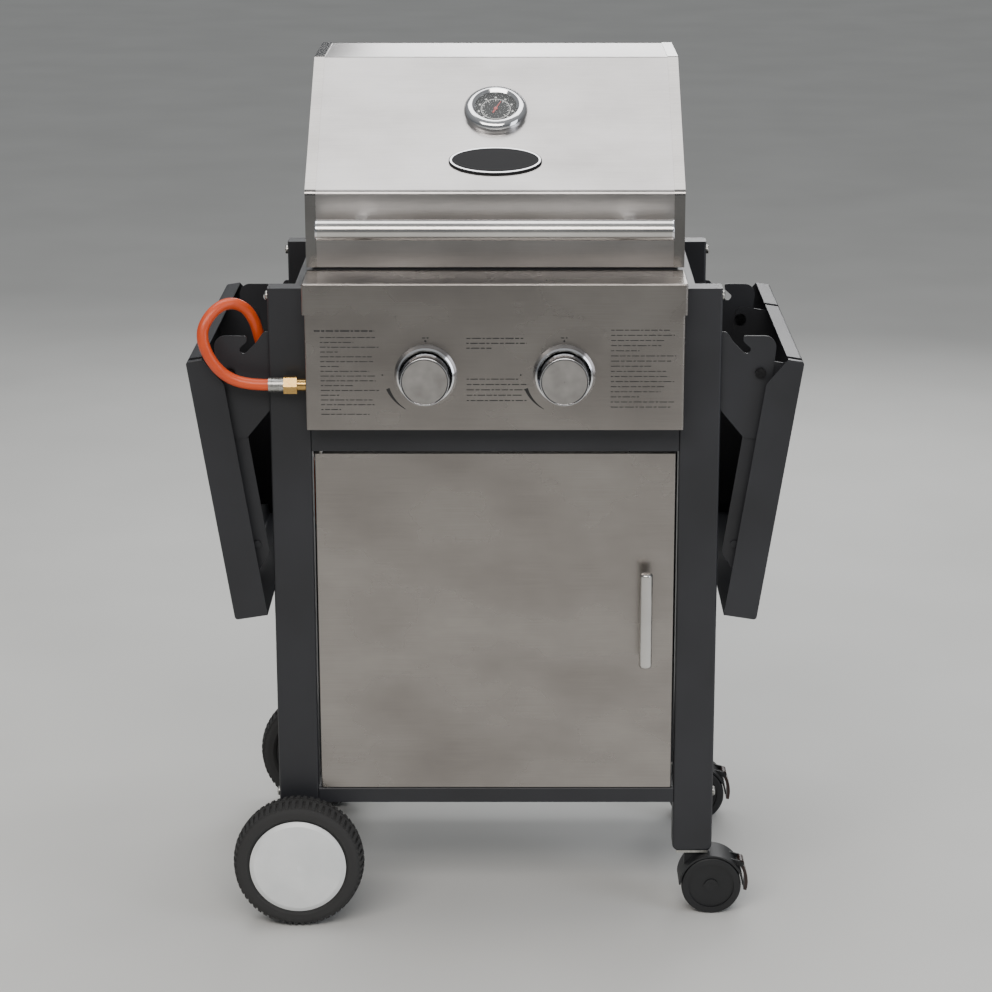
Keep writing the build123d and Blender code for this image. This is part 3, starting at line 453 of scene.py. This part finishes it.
def join_rings(shape, rings, whole=True):
    """Skins closed rings of corners, each joined to the next, and the last to the first if whole."""
    for i, ring in enumerate(rings if whole else rings[:-1]):
        following = rings[(i + 1) % len(rings)]
        for k in range(len(ring)):
            after = (k + 1) % len(ring)
            shape.faces.new((ring[k], ring[after], following[after], following[k]))


def band(shape, face, inner, outer, start, end, low, high, steps):
    """Adds a ring, or part of one. Its radii may be functions of the way along, from 0 to 1."""

    def corner(radius, step, height):
        along = step / steps
        angle = math.radians(start + (end - start) * along)
        r = radius(along) if callable(radius) else radius
        return shape.verts.new(face.at(r * math.cos(angle), r * math.sin(angle), height))

    section = ((inner, low), (outer, low), (outer, high), (inner, high))
    whole = abs(end - start) >= 360
    rings = [
        [corner(radius, step, height) for radius, height in section]
        for step in range(steps if whole else steps + 1)
    ]
    join_rings(shape, rings, whole)
    if not whole:
        shape.faces.new(rings[0])
        shape.faces.new(list(reversed(rings[-1])))


def soften(piece, width_mm):
    """Rounds a piece's edges by a small real radius."""
    bevel = piece.modifiers.new("rounded_edges", "BEVEL")
    bevel.width = width_mm * MM
    bevel.segments = 2
    bevel.limit_method = "ANGLE"


def smooth(piece):
    """Shades a curved piece smoothly, keeping its sharp corners."""
    for polygon in piece.data.polygons:
        polygon.use_smooth = True
    piece.modifiers.new("sharp_corners", "EDGE_SPLIT").split_angle = math.radians(35)


print("small-solid helpers ready")

# %% [markdown]
# ## Tyres
# A cart tyre is a rubber ring with a rounded crown and a staggered row of lugs on each side of a
# centre rib. The carcass is a profile turned about the axle, and the lugs are blocks laid round it in
# a loop, each one following the crown's curve. They are geometry, because the outline shows them.

# %% Tyres with tread
AXLE_X = -249 * MM
WHEEL_RADIUS = 82.5 * MM
WHEEL_WIDTH = 45 * MM
TREAD_DEPTH = 3 * MM
CROWN = WHEEL_RADIUS - TREAD_DEPTH
SHOULDER_RADIUS = 9 * MM
SHOULDER_DROP = 2.8 * MM
TYRE_BORE = 60 * MM
TREAD_LUGS = 60
LUG_PITCH = 2 * math.pi / TREAD_LUGS
LUG_HALF_TURN = LUG_PITCH * 0.27
LUG_INNER = 3.6 * MM
LUG_OUTER = 19.6 * MM
LUG_ROOT = 2.5 * MM
RIB_TOP = WHEEL_RADIUS - 0.3 * MM
RIB_ROOT = CROWN - 2 * MM
RIB_SECTION = [(RIB_ROOT, -2.4 * MM), (RIB_TOP, -1.8 * MM), (RIB_TOP, 1.8 * MM), (RIB_ROOT, 2.4 * MM)]
TURN_STEPS = 120


def tyre_profile():
    """Round-shouldered section of the carcass: (radius, distance from the tyre's middle plane)."""
    half = WHEEL_WIDTH / 2
    bead = [(TYRE_BORE, half - 6 * MM), (TYRE_BORE + 1.5 * MM, half - 2.5 * MM), (TYRE_BORE + 5 * MM, half)]
    shoulder = []
    for degrees in range(0, 91, 15):
        rise = SHOULDER_RADIUS * math.sin(math.radians(degrees))
        reach = SHOULDER_RADIUS * math.cos(math.radians(degrees))
        shoulder.append((CROWN - SHOULDER_RADIUS + rise, half - SHOULDER_RADIUS + reach))
    right = bead + shoulder
    return right + [(r, -w) for r, w in reversed(right)]


def build_tyre(shape, middle):
    """Fills a bmesh with a tyre whose middle plane crosses the axle at this Y."""

    def place(radius, width, angle):
        return (AXLE_X + radius * math.cos(angle), middle + width, WHEEL_RADIUS + radius * math.sin(angle))

    def turned(section):
        """A section turned all the way round the axle."""
        angles = [2 * math.pi * step / TURN_STEPS for step in range(TURN_STEPS)]
        join_rings(shape, [[shape.verts.new(place(r, w, angle)) for r, w in section] for angle in angles])

    def lug(angle, width_low, width_high):
        """One block of rubber, whose outer edge is set lower to follow the shoulder."""
        corners = []
        for radius in (CROWN - LUG_ROOT, WHEEL_RADIUS):
            for width, drop in ((width_low, 0), (width_high, SHOULDER_DROP)):
                for side in (-LUG_HALF_TURN, LUG_HALF_TURN):
                    corners.append(shape.verts.new(place(radius - drop, width, angle + side)))
        for face in ((0, 1, 3, 2), (4, 6, 7, 5), (0, 4, 5, 1), (2, 3, 7, 6), (0, 2, 6, 4), (1, 5, 7, 3)):
            shape.faces.new([corners[i] for i in face])

    turned(tyre_profile())
    for count in range(TREAD_LUGS):
        lug(count * LUG_PITCH, LUG_INNER, LUG_OUTER)
        lug((count + 0.5) * LUG_PITCH, -LUG_INNER, -LUG_OUTER)
    turned(RIB_SECTION)


for end, middle in (("front", LEG_FRONT - 27.5 * MM), ("rear", LEG_FRONT + 362.5 * MM)):
    tyre = mesh_piece(
        f"treaded_tyre_{end}",
        lambda shape: build_tyre(shape, middle),
        tyre_rubber,
        f"wheel_{end}",
    )
    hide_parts(f"tyre_{end}")
    smooth(tyre)
print("tyres with", TREAD_LUGS * 2, "lugs each")

# %% [markdown]
# ## Knobs
# Each knob is a black-chromed body with a spun aluminium disc pressed into its face. The lathe leaves
# fine rings on the disc, too small to see one by one, that only soften what it reflects. A polished
# line runs round the rim where the disc's edge is rolled over the body.

# %% Knob discs and rims
KNOB_X_MM = 83
KNOB_Z_MM = 713
KNOB_X = KNOB_X_MM * MM
KNOB_Z = KNOB_Z_MM * MM
PANEL_Y = LEG_FRONT - 32 * MM
KNOB_FACE = 37.2 * MM
KNOB_FRONT = 37.97 * MM
DISC_RADIUS = 26.8 * MM
RIM_RADII = (27.2 * MM, 28.9 * MM)
KNOB_STEPS = 96


def spun_inputs(material):
    """Lathe rings in the gloss, and a broad drift in tone."""
    rings = pattern(material, 0.6, detail=2)
    drift = pattern(material, 20, detail=2)
    return {
        "Base Color": ramp(material, drift, [(0.3, "#a09d9a"), (0.7, "#b8b5b2")]),
        "Metallic": 1.0,
        "Roughness": between(material, rings, 0.34, 0.46),
    }


spun_disc = new_material("spun_aluminium", spun_inputs)


def knob_ring(shape, face, radii, low, high):
    """A flat ring laid on a knob's face."""
    band(shape, face, radii[0], radii[1], 0, 360, low, high, KNOB_STEPS)


for side, sign in (("left", -1), ("right", 1)):
    face = Face((sign * KNOB_X, PANEL_Y, KNOB_Z), (1, 0, 0), (0, 0, 1))
    disc_radii = (0.4 * MM, DISC_RADIUS)
    mesh_piece(
        f"knob_disc_{side}",
        lambda shape: knob_ring(shape, face, disc_radii, KNOB_FACE - 0.2 * MM, KNOB_FACE + 0.4 * MM),
        spun_disc,
        f"{side}_knob",
    )
    rim = mesh_piece(
        f"knob_rim_{side}",
        lambda shape: knob_ring(shape, face, RIM_RADII, KNOB_FACE - 0.4 * MM, KNOB_FRONT),
        chrome,
        f"{side}_knob",
    )
    soften(rim, 0.25)
print("knob discs are", round(2 * DISC_RADIUS / MM, 1), "mm across")

# %% [markdown]
# ## Printed marks
# Beside each knob the panel carries a sweep that narrows as the flame gets lower, with small dots for
# its settings. Blocks of fine print fill the rest, and stand here as rows of short plain dashes with
# no letters. Screen ink is very thin, so every mark is a slab thin enough to look painted on.

# %% Printed marks on the panel
INK = 0.06 * MM
panel_face = Face((0, PANEL_Y, 0), (1, 0, 0), (0, 0, 1))
DASHES = (7, 4, 9, 5, 11, 3, 6, 8, 4, 10, 5, 7, 3, 9)
DASH_GAP = 1.6


def print_row(shape, left, height, length, start, weight):
    """One row of dashes in millimetres, taking its lengths from DASHES in turn."""
    place = left
    count = start
    while place < left + length:
        dash = min(DASHES[count % len(DASHES)], left + length - place)
        low = height - weight / 2
        high = height + weight / 2
        outline = [(place, low), (place + dash, low), (place + dash, high), (place, high)]
        slab(shape, panel_face, [(u * MM, v * MM) for u, v in outline], 0.0, INK)
        place += dash + DASH_GAP
        count += 1
    return count


def fine_print(shape):
    """Blocks of rows: left edge, top row, rows, pitch, the lengths they take in turn, and dash height."""
    blocks = (
        (-216, 767, 1, 6.0, (72,), 1.8),
        (-209, 759, 17, 5.9, (66, 40, 70, 22, 62, 64, 24, 58, 66), 1.0),
        (-34, 758, 3, 6.0, (68, 72, 30), 1.3),
        (-34, 708, 5, 6.6, (62, 74, 70, 66, 72), 1.1),
        (139, 768, 16, 6.3, (70, 76, 64, 60, 34, 78, 72, 48, 66), 1.0),
    )
    count = 0
    for left, top, rows, pitch_mm, lengths, weight in blocks:
        for row in range(rows):
            length = lengths[row % len(lengths)]
            count = print_row(shape, left, top - row * pitch_mm, length, count, weight)


def sweep_inner(along):
    """The sweep's inner radius, which grows as its flame gets lower."""
    return (46.3 + 1.9 * along) * MM


def sweep_outer(along):
    """The sweep's outer radius, which shrinks to meet the inner one."""
    return (50.7 - 1.9 * along) * MM


def knob_marks(shape):
    """The tapered sweep and the setting marks around both knobs."""
    for sign in (-1, 1):
        face = Face((sign * KNOB_X, PANEL_Y, KNOB_Z), (1, 0, 0), (0, 0, 1))
        band(shape, face, sweep_inner, sweep_outer, 200, 240, 0.0, INK, 24)
        for angle, distance, size in ((90, 41.5, 1.3), (180, 52, 1.0)):
            across = distance * MM * math.cos(math.radians(angle))
            up = distance * MM * math.sin(math.radians(angle))
            dot = Face(face.at(across, up), (1, 0, 0), (0, 0, 1))
            band(shape, dot, 0.2 * MM, size * MM, 0, 360, 0.0, INK, 16)
        print_row(shape, sign * KNOB_X_MM - 4, KNOB_Z_MM + 45.5, 8, 1, 1.2)


mesh_piece("panel_knob_marks", knob_marks, print_and_shade_black, "cart")
mesh_piece("panel_fine_print", fine_print, print_and_shade_black, "cart")
print("printed marks are", round(INK / MM, 2), "mm thick")

# %% [markdown]
# ## Thermometer and badge
# The lid thermometer is a bimetal coil behind a black dial, with a light ring, ticks and a red needle
# on a hub. The oval badge below it is a blank black enamel plate with a raised bright rim.

# %% Thermometer dial and badge rim
HOOD_FRONT = LEG_FRONT + 50 * MM
SLOPE_FOOT_MM = 921
SLOPE_TOP_MM = 1059
SLOPE_RUN_MM = 207
SLOPE_FOOT = SLOPE_FOOT_MM * MM
SLOPE = math.atan2(SLOPE_TOP_MM - SLOPE_FOOT_MM, SLOPE_RUN_MM)


def slope_face(back_mm, height_mm=0.0):
    """A face on the hood's slope, this far behind the hood's front and this far out of the slope."""
    origin = Vector((0, HOOD_FRONT + back_mm * MM, SLOPE_FOOT + back_mm * MM * math.tan(SLOPE)))
    up = Vector((0, math.cos(SLOPE), math.sin(SLOPE)))
    out = Vector((1, 0, 0)).cross(up)
    return Face(origin + out * height_mm * MM, (1, 0, 0), up)


dial_face = slope_face(120, 4.0)
TICKS = 25
TICK_SWEEP = 270
TICK_TOP = 0.15


def spoke(shape, angle_deg, inner, outer, half_inner, half_outer, low, high):
    """A straight mark or needle along one angle of the dial, in millimetres."""
    angle = math.radians(angle_deg)
    along = (math.cos(angle), math.sin(angle))
    side = (-along[1], along[0])
    corners = ((inner, -half_inner), (outer, -half_outer), (outer, half_outer), (inner, half_inner))
    outline = [((r * along[0] + w * side[0]) * MM, (r * along[1] + w * side[1]) * MM) for r, w in corners]
    slab(shape, dial_face, outline, low * MM, high * MM)


def dial_ticks(shape):
    """A light ring with ticks inside it, and a short block outside for each numbered step."""
    band(shape, dial_face, 17.9 * MM, 18.5 * MM, 0, 360, 0.0, TICK_TOP * MM, 96)
    for tick in range(TICKS):
        angle = 90 + TICK_SWEEP / 2 - TICK_SWEEP * tick / (TICKS - 1)
        if tick % 3 == 0:
            spoke(shape, angle, 14.5, 17.6, 0.45, 0.45, 0.0, TICK_TOP)
            spoke(shape, angle, 20.2, 22.4, 1.3, 1.3, 0.0, TICK_TOP)
        else:
            spoke(shape, angle, 16.0, 17.6, 0.25, 0.25, 0.0, TICK_TOP)


def needle_shape(shape):
    """A tapered needle with a short tail and a round hub."""
    spoke(shape, 65, -8, 15, 1.1, 0.4, 0.6, 1.0)
    band(shape, dial_face, 0.1 * MM, 2.4 * MM, 0, 360, 0.3 * MM, 1.6 * MM, 32)


mesh_piece("dial_ticks", dial_ticks, ink_white, "hood")
mesh_piece("dial_needle", needle_shape, ink_red, "hood")


BADGE_INNER = (53.2 * MM, 20.9 * MM)
BADGE_OUTER = (55.6 * MM, 23.2 * MM)
BADGE_STEPS = 96


def badge_rim(shape):
    """An oval ring, from the half width and half height of its inner and outer edges."""
    face = slope_face(45, 1.5)
    section = ((BADGE_INNER, 0.0), (BADGE_OUTER, 0.0), (BADGE_OUTER, 0.5 * MM), (BADGE_INNER, 0.5 * MM))
    rings = []
    for step in range(BADGE_STEPS):
        angle = 2 * math.pi * step / BADGE_STEPS
        ring = []
        for (across, up), height in section:
            ring.append(shape.verts.new(face.at(across * math.cos(angle), up * math.sin(angle), height)))
        rings.append(ring)
    join_rings(shape, rings)


soften(mesh_piece("badge_rim", badge_rim, chrome, "hood"), 0.2)
print("slope of the hood:", round(math.degrees(SLOPE), 1), "degrees")

# %% [markdown]
# ## Hex sockets, as painted shade
# The leg bolts are button heads with a hexagon socket. The shade inside each socket is painted as a flat
# dark hexagon on the head, which is enough at this size, and it turns the plain buttons into bolts.

# %% Bolt sockets, painted shade
BOLT_ROWS = ((158, 278.0), (703, 279.5), (800, 278.0))
BOLT_BACKS = (19, 316)
SOCKET_RADIUS = 2.3 * MM


def painted_shade_bolt_sockets(shape):
    """Painted shade of a socket: a flat dark hexagon on the crown of every leg bolt. A row is its height
    and its reach sideways.
    """
    for sign in (-1, 1):
        for back in BOLT_BACKS:
            for height, reach in BOLT_ROWS:
                crown = (sign * reach * MM, LEG_FRONT + back * MM, height * MM)
                face = Face(crown, (0, sign, 0), (0, 0, 1))
                band(shape, face, 0.05 * MM, SOCKET_RADIUS, 0, 360, -0.02 * MM, 0.05 * MM, 6)


# The shade in the sockets is painted with the black print ink.
mesh_piece("painted_shade_bolt_sockets", painted_shade_bolt_sockets, print_and_shade_black, "cart")
print("bolt sockets:", 2 * len(BOLT_BACKS) * len(BOLT_ROWS))

# %% [markdown]
# ## Studio
# A pale floor and four large soft lights. Metal shows what it reflects, so the lights are wide and at
# different heights: their edges draw the long soft gradients that make sheet steel look like steel.

# %% Floor, lights and world
FLOOR = 12.0


def floor_inputs(material):
    """A matt pale floor with a slow drift in tone."""
    drift = pattern(material, 400, detail=2)
    return {"Base Color": ramp(material, drift, [(0.3, "#cfcfcc"), (0.7, "#d6d6d3")]), "Roughness": 0.85}


floor_corners = [(-FLOOR, -FLOOR, 0), (FLOOR, -FLOOR, 0), (FLOOR, FLOOR, 0), (-FLOOR, FLOOR, 0)]
floor_mesh = bpy.data.meshes.new("floor")
floor_mesh.from_pydata(floor_corners, [], [(0, 1, 2, 3)])
floor = bpy.data.objects.new("floor", floor_mesh)
bpy.context.scene.collection.objects.link(floor)
floor_mesh.materials.append(new_material("pale_floor", floor_inputs))


def area_light(name, place, target, size, watts, tint="#ffffff"):
    """A soft box aimed at a target."""
    data = bpy.data.lights.new(name, "AREA")
    data.shape = "RECTANGLE"
    data.size, data.size_y = size
    data.energy = watts
    data.color = colour(tint)[:3]
    light = bpy.data.objects.new(name, data)
    light.location = place
    light.rotation_euler = (Vector(target) - Vector(place)).to_track_quat("-Z", "Y").to_euler()
    bpy.context.scene.collection.objects.link(light)


area_light("front_bank", (-0.5, -2.6, 2.5), (0, 0, 0.75), (3.2, 1.1), 75, "#fffaf5")
area_light("side_fill", (2.5, -1.6, 1.3), (0, 0, 0.5), (1.2, 2.0), 22, "#f2f6ff")
area_light("top_bank", (0.0, 0.35, 2.9), (0, 0, 0.8), (2.6, 1.3), 36)
area_light("back_bank", (0.6, 2.6, 1.8), (0, 0, 0.8), (2.0, 1.0), 35)
world = bpy.data.worlds.new("studio")
world.use_nodes = True
sky = add(world, "ShaderNodeTexCoord").outputs["Generated"]
height = add(world, "ShaderNodeSeparateXYZ", {"Vector": sky}).outputs["Z"]
sky_tone = ramp(world, between(world, height, 0.35, 1.0), [(0.35, "#8d9093"), (1.0, "#eef0f2")])
backdrop = world.node_tree.nodes["Background"]
world.node_tree.links.new(sky_tone, backdrop.inputs["Color"])
backdrop.inputs["Strength"].default_value = 0.5
bpy.context.scene.world = world
bpy.context.scene.view_settings.view_transform = "AgX"
print("studio ready")
